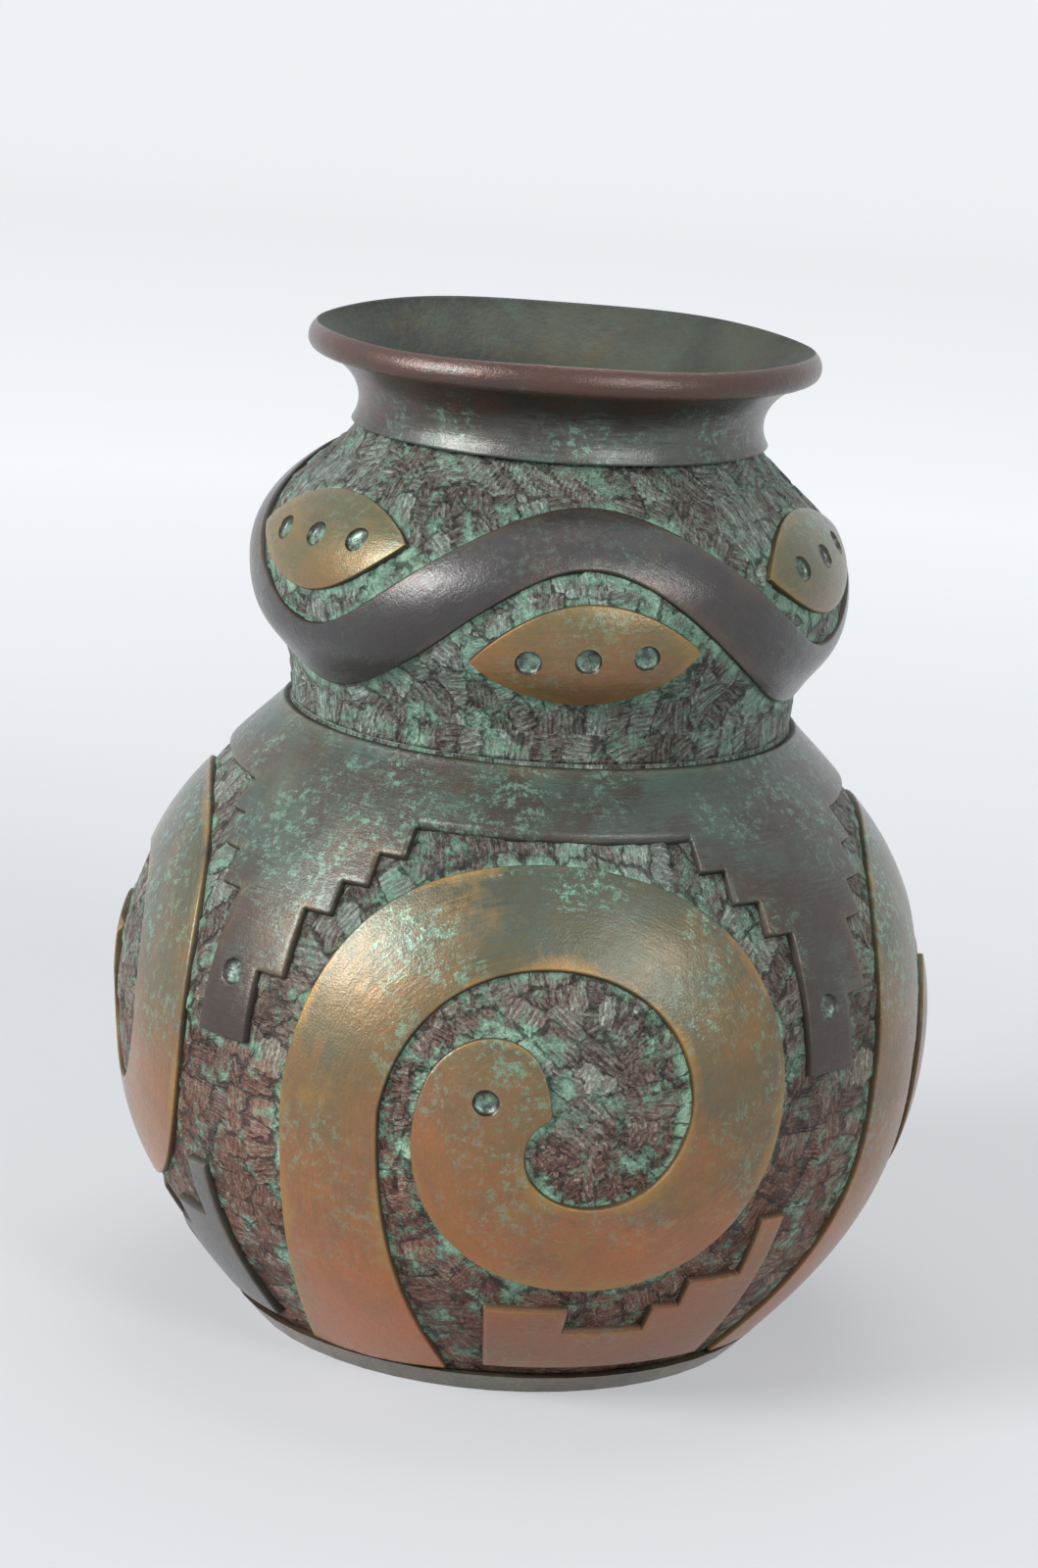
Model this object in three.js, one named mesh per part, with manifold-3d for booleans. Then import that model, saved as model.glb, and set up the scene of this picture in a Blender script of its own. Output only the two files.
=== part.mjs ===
// A bronze vase with two bellies, in millimetres, +Z up, standing on z = 0 with its axis on Z.
// Five castings are lapped together: foot ring, base plate, belly, upper bulb, and neck with lip.
// Raised plates of scroll, wave, leaf and step ornament stand on the sunk ground of both bellies.
import * as THREE from "three";
import { mergeVertices } from "three/addons/utils/BufferGeometryUtils.js";
import Module from "manifold-3d";

const wasm = await Module();
wasm.setup();

// Outline of the face: radii where the wall stands upright, and the rise from each one to the next
const footRadius = 78;
const bellyRadius = 125.4;
const waistRadius = 77.7;
const bulbRadius = 90.6;
const neckRadius = 60.5;
const lipUndersideRadius = 72.5;
const bellyRise = 101;
const waistRise = 90;
const bulbRise = 42.5;
const neckRise = 48;
const flareRise = 14.5;
const lipRise = 9;

// How far each curve runs upright before it turns, as shares of its rise: the fullness of the form
const footSpreadShare = 0.535;
const footRiseShare = 0.275;
const belowBelly = 0.46;
const aboveBelly = 0.61;
const belowWaist = 0.055;
const aboveWaist = 0.58;
const belowBulb = 0.58;
const aboveBulb = 0.545;
const belowNeck = 0.3;
const aboveNeck = 0.48;
const flareSlope = 0.37;

// Walls, seams and clearances
const relief = 2.3;
const wall = 4.5;
const lipBulge = 2.45;
const rimSetback = 1.6;
const rimThickness = 3;
const clearance = 0.3;
const plateClearance = 0.45;
const lapLength = 6;
const footBandHeight = 6.8;
const collarDrop = 6.3;
const footLandWidth = 12;
const plateLedge = 6;
const basePlateThickness = 4;

// Ornament: the ground shows in channels between the plates
const channel = 7.5;
const scrollChannel = 12;
const borderWidth = 9;
const edgeDrop = 0.9;
const scrollCount = 4;
const frontScrollDegrees = -82;
const scrollDrop = 4;
const scrollTurns = 1.17;
const scrollBand = 32;
const eyeRadius = 18.5;
const stemFoot = 46;
const shoulderRing = 24;
const cellDegrees = 4.5;
const cellHeight = 10.5;
const shoulderCellRows = 7;
const footCellRows = 7;
const footPlateGap = 6;
const waveCount = 3;
const waveWidth = 22;
const leafLength = 68;
const leafWidth = 34;
const leafTiltDegrees = 5;
const plugRadius = 4;
const plugOffsetDegrees = 10;
const plugSpace = 11;

// Fineness of the facets
const roundSegments = 48;
const waveSegments = 72;
const bandLanes = 5;
const scrollSteps = 48;
const headCrowding = 1.35;
const leafSteps = 12;
const ringRows = 6;
const curveSamples = 40;
const wallEvery = 4;
const innerEvery = 10;
const shortestStep = 0.5;

const bellyHeight = bellyRise;
const waistHeight = bellyHeight + waistRise;
const bulbHeight = waistHeight + bulbRise;
const neckHeight = bulbHeight + neckRise;
const lipUndersideHeight = neckHeight + flareRise;
const totalHeight = lipUndersideHeight + lipRise;
const collarSeam = neckHeight - collarDrop;
const groundDepth = relief;
const innerDepth = relief + wall;
const lapDepth = relief + wall / 2;
const radians = THREE.MathUtils.degToRad;
const point = (r, z) => new THREE.Vector2(r, z);

// Outline of the face, from the floor to the underside of the lip, as a chain of cubics that meet upright.
function faceCurve() {
  const path = new THREE.CurvePath();
  const join = (...corners) => path.add(new THREE.CubicBezierCurve(...corners));
  join(
    point(footRadius, 0),
    point(footRadius + footSpreadShare * (bellyRadius - footRadius), footRiseShare * bellyRise),
    point(bellyRadius, bellyHeight - belowBelly * bellyRise),
    point(bellyRadius, bellyHeight),
  );
  join(
    point(bellyRadius, bellyHeight),
    point(bellyRadius, bellyHeight + aboveBelly * waistRise),
    point(waistRadius, waistHeight - belowWaist * waistRise),
    point(waistRadius, waistHeight),
  );
  join(
    point(waistRadius, waistHeight),
    point(waistRadius, waistHeight + aboveWaist * bulbRise),
    point(bulbRadius, bulbHeight - belowBulb * bulbRise),
    point(bulbRadius, bulbHeight),
  );
  join(
    point(bulbRadius, bulbHeight),
    point(bulbRadius, bulbHeight + aboveBulb * neckRise),
    point(neckRadius, neckHeight - belowNeck * neckRise),
    point(neckRadius, neckHeight),
  );
  const flareSpread = lipUndersideRadius - neckRadius;
  join(
    point(neckRadius, neckHeight),
    point(neckRadius, neckHeight + aboveNeck * flareRise),
    point(lipUndersideRadius - flareSpread / 2, lipUndersideHeight - (flareSlope * flareSpread) / 2),
    point(lipUndersideRadius, lipUndersideHeight),
  );
  return path;
}

// The outline as a table of point, inward normal and length along the face, fine enough to read between.
const face = (() => {
  const rows = [];
  for (const curve of faceCurve().curves)
    for (let i = rows.length ? 1 : 0; i <= curveSamples; i++) {
      const p = curve.getPoint(i / curveSamples);
      const t = curve.getTangent(i / curveSamples);
      const last = rows.at(-1);
      const length = last ? last.length + Math.hypot(p.x - last.r, p.y - last.z) : 0;
      rows.push({ r: p.x, z: p.y, inR: -t.y, inZ: t.x, length });
    }
  return rows;
})();

// Reads a value of the table at the place where key(row) reaches x.
function between(key, x, value) {
  let i = 1;
  while (i < face.length - 1 && key(face[i]) < x) i++;
  const a = face[i - 1];
  const b = face[i];
  const share = (x - key(a)) / (key(b) - key(a));
  return value(a) + share * (value(b) - value(a));
}

const lengthAt = (height) => between((p) => p.z, height, (p) => p.length);
const radiusAt = (length) => between((p) => p.length, length, (p) => p.r);

// A point of the wall: depth is measured inwards from the face.
function wallPoint(angle, length, depth) {
  const r = between((p) => p.length, length, (p) => p.r + depth * p.inR);
  const z = between((p) => p.length, length, (p) => p.z + depth * p.inZ);
  return [r * Math.cos(angle), r * Math.sin(angle), z];
}

// The line that runs at one depth in the wall between two heights, as points of a profile. It takes
// every so many rows of the table, and so has more points where the outline turns sharply.
function wallLine(depth, from, to, every = wallEvery) {
  const height = (p) => p.z + depth * p.inZ;
  const end = (z) => point(between(height, z, (p) => p.r + depth * p.inR), z);
  const low = Math.min(from, to) + shortestStep;
  const high = Math.max(from, to) - shortestStep;
  const line = face
    .filter((p, i) => i % every === 0 && height(p) > low && height(p) < high)
    .map((p) => point(p.r + depth * p.inR, height(p)));
  return [end(from), ...(from < to ? line : line.reverse()), end(to)];
}

// A solid of revolution about Z from a profile that runs up the outside and down the inside.
function turned(profile, closed = true) {
  const points = closed ? [...profile, profile[0].clone()] : profile;
  return new THREE.LatheGeometry(points, roundSegments).rotateX(Math.PI / 2);
}

// Foot ring: a plain band with a flat land to stand on and a ledge that carries the base plate.
function footRing() {
  const landInner = footRadius - footLandWidth;
  const ledgeHeight = footBandHeight - basePlateThickness - clearance;
  return turned([
    point(landInner, ledgeHeight),
    point(landInner, 0),
    ...wallLine(0, 0, footBandHeight),
    point(landInner + plateLedge, footBandHeight),
    point(landInner + plateLedge, ledgeHeight),
  ]);
}

// Base plate: a disc dropped into the foot ring from above.
function basePlate() {
  const edge = footRadius - footLandWidth + plateLedge - clearance;
  const under = footBandHeight - basePlateThickness;
  const disc = [point(0, under), point(edge, under), point(edge, footBandHeight), point(0, footBandHeight)];
  return turned(disc, false);
}

// Belly: the wall from the foot ring to the waist seam, with half its thickness running on as a lap.
function belly() {
  const foot = footBandHeight + clearance;
  const lap = waistHeight + lapLength;
  return turned([
    ...wallLine(groundDepth, foot, waistHeight),
    ...wallLine(lapDepth, waistHeight, lap),
    ...wallLine(innerDepth, lap, foot, innerEvery),
  ]);
}

// Upper bulb: socketed over the belly's lap, and with a lap of its own for the neck.
function upperBulb() {
  const foot = waistHeight + clearance;
  const lap = collarSeam + lapLength;
  return turned([
    ...wallLine(lapDepth - clearance, foot + lapLength, foot),
    ...wallLine(groundDepth, foot, collarSeam),
    ...wallLine(lapDepth, collarSeam, lap),
    ...wallLine(innerDepth, lap, foot + lapLength, innerEvery),
  ]);
}

// Neck and lip: a flared collar that ends in a rolled bead with a crisp rim, socketed over the bulb's lap.
function neckAndLip() {
  const foot = collarSeam + clearance;
  const rim = point(lipUndersideRadius + rimSetback, totalHeight);
  const bulge = lipUndersideRadius + 2 * lipBulge;
  const roll = new THREE.CubicBezierCurve(
    point(lipUndersideRadius, lipUndersideHeight),
    point(bulge, lipUndersideHeight),
    point(bulge, lipUndersideHeight + lipRise * 0.7),
    rim,
  );
  const throat = wallLine(innerDepth, foot + lapLength, neckHeight + lapLength)[0];
  const mouth = new THREE.CubicBezierCurve(
    rim,
    point(rim.x - rimThickness, lipUndersideHeight + lipRise * 0.4),
    point(throat.x, neckHeight + flareRise * 0.5),
    throat,
  );
  return turned([
    ...wallLine(lapDepth - clearance, foot + lapLength, foot),
    ...wallLine(0, foot, lipUndersideHeight).slice(0, -1),
    ...roll.getPoints(6),
    ...mouth.getPoints(6).slice(1),
  ]);
}

// A plate on the wall: cells of a lattice that exist(i, j), whose corner (i, j) stands at place(i, j), which
// gives angle, length along the face and depth of the plate's top. A wrapped lattice closes on itself in i.
function plate(columns, rows, exists, place, wrapped = false) {
  const corners = new Map();
  const positions = [];
  const faces = [];
  const corner = (i, j) => {
    const column = wrapped ? i % columns : i;
    const key = column * (rows + 1) + j;
    if (!corners.has(key)) {
      const [angle, length, depth] = place(column, j);
      corners.set(key, positions.length / 3);
      positions.push(...wallPoint(angle, length, depth));
      positions.push(...wallPoint(angle, length, groundDepth - plateClearance));
    }
    return corners.get(key);
  };
  const filled = (i, j) => {
    const column = wrapped ? (i + columns) % columns : i;
    return column >= 0 && column < columns && j >= 0 && j < rows && exists(column, j);
  };
  const quad = (a, b, c, d) => faces.push(a, b, c, a, c, d);
  for (let i = 0; i < columns; i++)
    for (let j = 0; j < rows; j++) {
      if (!filled(i, j)) continue;
      const loop = [corner(i, j), corner(i + 1, j), corner(i + 1, j + 1), corner(i, j + 1)];
      const neighbours = [filled(i, j - 1), filled(i + 1, j), filled(i, j + 1), filled(i - 1, j)];
      quad(...loop);
      quad(...loop.map((n) => n + 1).reverse());
      loop.forEach((a, k) => {
        const b = loop[(k + 1) % 4];
        if (!neighbours[k]) quad(b, a, a + 1, b + 1);
      });
    }
  return new THREE.BufferGeometry()
    .setAttribute("position", new THREE.Float32BufferAttribute(positions, 3))
    .setIndex(faces);
}

// A band of varying width along a path on the wall. The path gives x round the wall and y up it, in
// millimetres from the band's own origin, and its heading. The edges are lower than the middle by edgeDrop.
function band(path, halfWidth, steps, angle, length) {
  const place = (i, j) => {
    const [x, y, heading] = path(i / steps);
    const lane = (2 * j) / bandLanes - 1;
    const side = lane * halfWidth(i / steps);
    const across = x - Math.sin(heading) * side;
    const up = length + y + Math.cos(heading) * side;
    return [angle + across / radiusAt(up), up, edgeDrop * lane ** 2];
  };
  return plate(steps, bandLanes, () => true, place);
}

// Scroll: a crook that coils out from a round eye, and whose stem runs down a meridian to the foot.
// Its size follows the room between the shoulder ring and the foot.
const ringFoot = lengthAt(waistHeight) - clearance - shoulderRing;
const scrollCentre = lengthAt(bellyHeight) - scrollDrop;
const scrollPitch = scrollBand + scrollChannel;
const scrollTop = ringFoot - channel - scrollCentre;
const scrollReach = scrollTop - scrollBand / 2 + scrollPitch / 4;
const innerReach = scrollReach - scrollPitch * scrollTurns;
const coilRun = 2 * Math.PI * scrollTurns * (scrollReach - (scrollPitch * scrollTurns) / 2);
const stemRun = scrollCentre - lengthAt(footBandHeight) - clearance - plateClearance;
const stemAngle = scrollReach / radiusAt(scrollCentre);

// Equal steps of length along an Archimedean spiral: the square of its reach grows evenly with the run.
function scrollPath(share) {
  const run = share * (coilRun + stemRun);
  if (run > coilRun) {
    const y = coilRun - run;
    return [-stemAngle * radiusAt(scrollCentre + y), y, -Math.PI / 2];
  }
  const reach = Math.sqrt(innerReach ** 2 + (run / coilRun) * (scrollReach ** 2 - innerReach ** 2));
  const turn = Math.PI - (2 * Math.PI * (scrollReach - reach)) / scrollPitch;
  return [reach * Math.cos(turn), reach * Math.sin(turn), turn + Math.PI / 2];
}

function scrollHalfWidth(share) {
  const run = share * (coilRun + stemRun);
  if (run < eyeRadius) return Math.max(eyeRadius * Math.sqrt(1 - (1 - run / eyeRadius) ** 2), 1);
  const settle = Math.min((run - eyeRadius) / (2 * eyeRadius), 1);
  const flare = Math.max(run - coilRun, 0) / stemRun;
  return eyeRadius + settle * (scrollBand / 2 - eyeRadius) + (flare ** 2 * (stemFoot - scrollBand)) / 2;
}

// The steps crowd towards the head, where the outline turns most.
function scroll(angle) {
  const path = (share) => scrollPath(share ** headCrowding);
  const halfWidth = (share) => scrollHalfWidth(share ** headCrowding);
  return band(path, halfWidth, scrollSteps, angle, scrollCentre);
}

// Core plug: where it stands, under its scroll, as an angle from the scroll's centre and a length.
const plugAngle = radians(plugOffsetDegrees);
const plugLength = scrollCentre - scrollReach + (3 * scrollPitch) / 4 - scrollBand / 2 - plugSpace;

// How far a point of the wall lies from the nearest scroll, coil's inside or plug. The turn is an angle
// from the centre of one scroll towards the next.
const keepClear = Array.from({ length: scrollSteps * 2 + 1 }, (_, i) => {
  const share = i / (scrollSteps * 2);
  const [x, y] = scrollPath(share);
  return { turn: x / radiusAt(scrollCentre + y), length: scrollCentre + y, half: scrollHalfWidth(share) };
});
keepClear.push({ turn: 0, length: scrollCentre, half: scrollReach - scrollPitch });
keepClear.push({ turn: plugAngle, length: plugLength, half: plugRadius - channel / 2 });
const scrollSpacing = (2 * Math.PI) / scrollCount;
function clearOfScrolls(turn, length) {
  const radius = radiusAt(length);
  const from = (p, shift) => Math.hypot((p.turn + shift - turn) * radius, p.length - length) - p.half;
  const shifts = [-scrollSpacing, 0, scrollSpacing];
  return Math.min(...keepClear.flatMap((p) => shifts.map((shift) => from(p, shift))));
}

// The step fields are cut in cells, counted round from one stem to the next. A cell exists where it
// keeps a channel from the scrolls, and where the cell that it grows from exists.
const cellsPerScroll = Math.round(360 / cellDegrees / scrollCount);
const cellTurn = scrollSpacing / cellsPerScroll;
function cellIsClear(i, bottom, top) {
  const sides = [i * cellTurn - stemAngle, (i + 1) * cellTurn - stemAngle];
  const levels = [bottom, (bottom + top) / 2, top];
  return sides.every((turn) => levels.every((length) => clearOfScrolls(turn, length) >= channel));
}
const shoulderLine = (j) => ringFoot - (shoulderCellRows - j) * cellHeight;
const footLine = (j) => lengthAt(footBandHeight) + footPlateGap + j * cellHeight;
const shoulderTip = shoulderLine(0);

// Shoulder plate: a plain ring under the waist seam, with a stepped field hanging into each gap.
function shoulderPlate() {
  const columns = cellsPerScroll * scrollCount;
  const exists = (i, j) =>
    j >= shoulderCellRows ||
    (exists(i, j + 1) && cellIsClear(i % cellsPerScroll, shoulderLine(j), shoulderLine(j + 1)));
  const place = (i, j) => {
    const left = 1 - (j - shoulderCellRows) / ringRows;
    const length = j > shoulderCellRows ? ringFoot + shoulderRing * (1 - left ** 2) : shoulderLine(j);
    return [radians(frontScrollDegrees) - stemAngle + i * cellTurn, length, 0];
  };
  return plate(columns, shoulderCellRows + ringRows, exists, place, true);
}

// Foot steps: a stepped field that rises from the foot ring between one stem and the next.
function footStepPlate(angle) {
  const exists = (i, j) =>
    (j === 0 || exists(i, j - 1)) &&
    footLine(j + 1) + channel <= shoulderTip &&
    cellIsClear(i, footLine(j), footLine(j + 1));
  const place = (i, j) => [angle - stemAngle + i * cellTurn, footLine(j), 0];
  return plate(cellsPerScroll, footCellRows, exists, place);
}

// Frieze of the upper bulb: it fills the room between the borders under the collar and over the waist.
const friezeFoot = lengthAt(waistHeight) + borderWidth;
const friezeTop = lengthAt(collarSeam) - borderWidth;
const friezeCentre = (friezeFoot + friezeTop) / 2;
const waveSwing = (friezeTop - friezeFoot - waveWidth) / 2 - channel / 2;
const leafOffset = ((friezeTop - friezeFoot) / 2 - waveSwing + waveWidth / 2) / 2;

// Wave: a rounded band that swings up and down round the upper bulb.
function waveBand() {
  const phase = radians(frontScrollDegrees);
  const place = (i, j) => {
    const angle = (2 * Math.PI * i) / waveSegments;
    const turn = waveCount * (angle - phase);
    const slope = (-waveSwing * waveCount * Math.sin(turn)) / bulbRadius;
    const lane = (2 * j) / bandLanes - 1;
    const side = (lane * waveWidth) / 2 / Math.hypot(1, slope);
    const up = friezeCentre + waveSwing * Math.cos(turn) + side;
    return [angle - (side * slope) / bulbRadius, up, edgeDrop * lane ** 2];
  };
  return plate(waveSegments, bandLanes, () => true, place, true);
}

// Leaf: a pointed oval in a bay of the wave; side is 1 over the wave's hollows, -1 under its crests.
function leaf(angle, side) {
  const tilt = radians(leafTiltDegrees);
  const path = (share) => {
    const along = (share - 0.5) * leafLength;
    return [along * Math.cos(tilt), along * Math.sin(tilt), tilt];
  };
  const halfWidth = (share) => Math.max((leafWidth / 2) * Math.sin(Math.PI * share) ** 0.8, 0.6);
  return band(path, halfWidth, leafSteps, angle, friezeCentre + side * leafOffset);
}

// Core plug: a short bronze pin driven through the wall where the casting core was held.
function plugCylinder(angle, radius, outerDepth, depth) {
  const outer = new THREE.Vector3(...wallPoint(angle, plugLength, outerDepth));
  const inner = new THREE.Vector3(...wallPoint(angle, plugLength, depth));
  const axis = outer.clone().sub(inner);
  return new THREE.CylinderGeometry(radius, radius, axis.length(), 12)
    .applyQuaternion(
      new THREE.Quaternion().setFromUnitVectors(new THREE.Vector3(0, 1, 0), axis.clone().normalize()),
    )
    .translate(...outer.add(inner).multiplyScalar(0.5).toArray());
}

function solidOf(geometry) {
  const bare = geometry.clone();
  bare.deleteAttribute("normal");
  bare.deleteAttribute("uv");
  const merged = mergeVertices(bare, 1e-4);
  return new wasm.Manifold(
    new wasm.Mesh({
      numProp: 3,
      vertProperties: merged.attributes.position.array,
      triVerts: new Uint32Array(merged.index.array),
    }),
  );
}

// Cuts each tool out of a body.
function cut(body, tools) {
  let solid = solidOf(body);
  for (const tool of tools) solid = solid.subtract(solidOf(tool));
  const mesh = solid.getMesh();
  return new THREE.BufferGeometry()
    .setAttribute("position", new THREE.Float32BufferAttribute(mesh.vertProperties, 3))
    .setIndex(new THREE.BufferAttribute(mesh.triVerts, 1));
}

const finish = (color, roughness, metalness = 1) =>
  new THREE.MeshStandardMaterial({ color, roughness, metalness });
const darkBronze = finish(0x4a3a36, 0.4);
const greenGround = finish(0x4d6a5c, 0.8, 0.4);
const goldenBronze = finish(0xa9794a, 0.38);
const copperBronze = finish(0xa56b48, 0.4);
const greyBronze = finish(0x74706f, 0.45);

const vase = new THREE.Group();
function add(name, geometry, material) {
  const mesh = new THREE.Mesh(geometry, material);
  mesh.name = name;
  vase.add(mesh);
}

const scrollAngles = Array.from({ length: scrollCount }, (_, k) =>
  radians(frontScrollDegrees + (360 * k) / scrollCount),
);
const plugHoles = scrollAngles.map((angle) =>
  plugCylinder(angle + plugAngle, plugRadius + clearance, groundDepth - relief, innerDepth + relief),
);

add("foot_ring", footRing(), greyBronze);
add("base_plate", basePlate(), greyBronze);
add("belly", cut(belly(), plugHoles), greenGround);
add("upper_bulb", upperBulb(), greenGround);
add("neck_and_lip", neckAndLip(), darkBronze);
add("shoulder_plate", shoulderPlate(), darkBronze);
add("wave_band", waveBand(), darkBronze);
scrollAngles.forEach((angle, k) => {
  const plug = plugCylinder(angle + plugAngle, plugRadius, groundDepth, innerDepth);
  add(`scroll_${k + 1}`, scroll(angle), goldenBronze);
  add(`foot_step_plate_${k + 1}`, footStepPlate(angle), k % 2 ? greyBronze : copperBronze);
  add(`core_plug_${k + 1}`, plug, greenGround);
});
for (let k = 0; k < waveCount; k++) {
  const crest = radians(frontScrollDegrees + (360 * k) / waveCount);
  add(`leaf_under_crest_${k + 1}`, leaf(crest, -1), goldenBronze);
  add(`leaf_over_hollow_${k + 1}`, leaf(crest + Math.PI / waveCount, 1), goldenBronze);
}

export default vase;
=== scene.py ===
"""A cast and patinated bronze vase with two bellies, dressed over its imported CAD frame."""

import math

import bpy
import numpy as np
from mathutils import Matrix, Vector


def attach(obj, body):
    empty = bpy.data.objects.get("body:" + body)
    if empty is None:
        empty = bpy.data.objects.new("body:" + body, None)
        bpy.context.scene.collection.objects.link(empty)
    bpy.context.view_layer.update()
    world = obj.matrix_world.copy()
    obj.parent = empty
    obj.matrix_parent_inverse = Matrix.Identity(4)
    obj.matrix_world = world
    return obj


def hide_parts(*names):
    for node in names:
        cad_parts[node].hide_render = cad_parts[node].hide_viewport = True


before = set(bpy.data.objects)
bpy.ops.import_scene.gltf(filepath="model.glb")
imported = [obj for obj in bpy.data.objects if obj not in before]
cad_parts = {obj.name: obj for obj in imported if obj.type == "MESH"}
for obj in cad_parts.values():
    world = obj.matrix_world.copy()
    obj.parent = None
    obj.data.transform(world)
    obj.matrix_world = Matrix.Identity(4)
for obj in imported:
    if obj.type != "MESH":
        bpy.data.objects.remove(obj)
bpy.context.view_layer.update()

# Camera: a little above the lip, looking slightly down at the front of the vase, which the
# photograph shows tipped clockwise by a few degrees.
camera_place = (-0.0047, -1.230, 0.4682)
camera_pitch = math.radians(13.81)
camera_roll = math.radians(4.02)
camera_lens = 95.4
camera_sensor = 36
camera = bpy.data.objects.new("camera", bpy.data.cameras.new("camera"))
camera.data.sensor_width = camera_sensor
camera.data.lens = camera_lens
camera.location = camera_place
looking = Matrix.Rotation(math.pi / 2 - camera_pitch, 3, "X")
camera.rotation_euler = (looking @ Matrix.Rotation(camera_roll, 3, "Z")).to_euler()
bpy.context.scene.collection.objects.link(camera)
bpy.context.scene.camera = camera
bpy.context.scene.view_settings.view_transform = "Standard"

# Studio: a white paper sweep and soft lamps, the main one at the upper left, at a level where a
# colour renders about as it is written. Where the paper is seen or mirrored it also glows, less near
# the vase, which stands in its middle, and less where the window lamp already lights it.
paper_size = 6.0
paper_bend = 0.8
bend_steps = 40
paper_gap = 0.0001
near_glow = 0.46
far_glow = 0.8
near_by = 0.4
far_off = 1.5
room_light = 0.36
room_seen = 0.915
lamp_spot = (-0.95, -0.6, 0)
lamp_lit = 0.5
lamp_clear = 1.6
lamp_aim = (0, 0, 0.15)


def linear(hex_colour):
    """Turns an sRGB hex colour such as "a9794a" into linear red, green, blue and alpha."""
    parts = [int(hex_colour[i : i + 2], 16) / 255 for i in (0, 2, 4)]
    return [c / 12.92 if c <= 0.04045 else ((c + 0.055) / 1.055) ** 2.4 for c in parts] + [1.0]


def add_node(tree, kind, settings={}, **inputs):
    """Adds a node. Settings are its properties. An input is a value, another node's output or a node
    that gives its first output, and is named by its socket, or by its place as in at_0."""
    made = tree.nodes.new("ShaderNode" + kind)
    for name, value in settings.items():
        setattr(made, name, value)
    for name, value in inputs.items():
        socket = made.inputs[int(name[3:]) if name.startswith("at_") else name.replace("_", " ")]
        if isinstance(value, bpy.types.Node):
            value = value.outputs[0]
        if isinstance(value, bpy.types.NodeSocket):
            tree.links.new(value, socket)
        else:
            socket.default_value = value
    return made


def new_material(name):
    """An empty node material, and its tree."""
    material = bpy.data.materials.new(name)
    material.use_nodes = True
    material.node_tree.nodes.clear()
    return material, material.node_tree


def seen_share(tree):
    """1 for the rays that show the background, from the camera or off metal, and 0 for all others."""
    rays = add_node(tree, "LightPath").outputs
    either = {"operation": "MAXIMUM"}
    return add_node(tree, "Math", either, at_0=rays["Is Camera Ray"], at_1=rays["Is Glossy Ray"])


paper, tree = new_material("white_paper")
matt = add_node(tree, "BsdfDiffuse", Color=linear("9b9da0"))
spot = add_node(tree, "TexCoord").outputs["Object"]
off = add_node(tree, "VectorMath", {"operation": "LENGTH"}, at_0=spot).outputs["Value"]
spread = add_node(
    tree, "MapRange", Value=off, From_Min=near_by, From_Max=far_off, To_Min=near_glow, To_Max=far_glow
)
from_lamp = add_node(tree, "VectorMath", {"operation": "DISTANCE"}, at_0=spot, at_1=lamp_spot)
away = from_lamp.outputs["Value"]
spared = add_node(tree, "MapRange", Value=away, From_Max=lamp_clear, To_Min=lamp_lit)
evened = add_node(tree, "Math", {"operation": "MULTIPLY"}, at_0=spared, at_1=spread)
glow_strength = add_node(tree, "Math", {"operation": "MULTIPLY"}, at_0=seen_share(tree), at_1=evened)
glow = add_node(tree, "Emission", Color=linear("f5f8fb"), Strength=glow_strength)
lit = add_node(tree, "AddShader", at_0=matt, at_1=glow)
add_node(tree, "OutputMaterial", Surface=lit)

bend = np.linspace(0, math.pi / 2, bend_steps)
back_y = paper_size / 2
sweep_y = np.concatenate([[-paper_size], back_y + paper_bend * np.sin(bend), [back_y + paper_bend]])
sweep_z = np.concatenate([[0], paper_bend * (1 - np.cos(bend)), [paper_size]]) - paper_gap
sweep_x = np.repeat([-paper_size, paper_size], len(sweep_y))
sweep_points = np.stack([sweep_x, np.tile(sweep_y, 2), np.tile(sweep_z, 2)], axis=1)
row = np.arange(len(sweep_y) - 1)
sweep_quads = np.stack([row, row + len(sweep_y), row + len(sweep_y) + 1, row + 1], axis=1)
sweep_mesh = bpy.data.meshes.new("paper_sweep")
sweep_mesh.from_pydata(sweep_points.tolist(), [], sweep_quads.tolist())
sweep_mesh.materials.append(paper)
sweep = bpy.data.objects.new("paper_sweep", sweep_mesh)
bpy.context.scene.collection.objects.link(sweep)

world = bpy.data.worlds.new("daylight_room")
world.use_nodes = True
room = world.node_tree.nodes["Background"]
room.inputs["Color"].default_value = linear("f3f6f9")
shown = seen_share(world.node_tree)
level = add_node(world.node_tree, "MapRange", Value=shown, To_Min=room_light, To_Max=room_seen)
world.node_tree.links.new(level.outputs[0], room.inputs["Strength"])
bpy.context.scene.world = world
softboxes = {
    "window": ((-1.37, -0.85, 0.98), 0.8, 34),
    "fill": ((0.85, -1.3, 0.95), 0.45, 10),
    "top": ((0.1, 0.4, 1.6), 1.2, 10),
}
for name, (place, size, power) in softboxes.items():
    lamp = bpy.data.lights.new(name, "AREA")
    lamp.shape = "DISK"
    lamp.size = size
    lamp.energy = power
    light = bpy.data.objects.new(name, lamp)
    light.location = place
    light.rotation_euler = (Vector(lamp_aim) - Vector(place)).to_track_quat("-Z", "Y").to_euler()
    bpy.context.scene.collection.objects.link(light)

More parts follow.
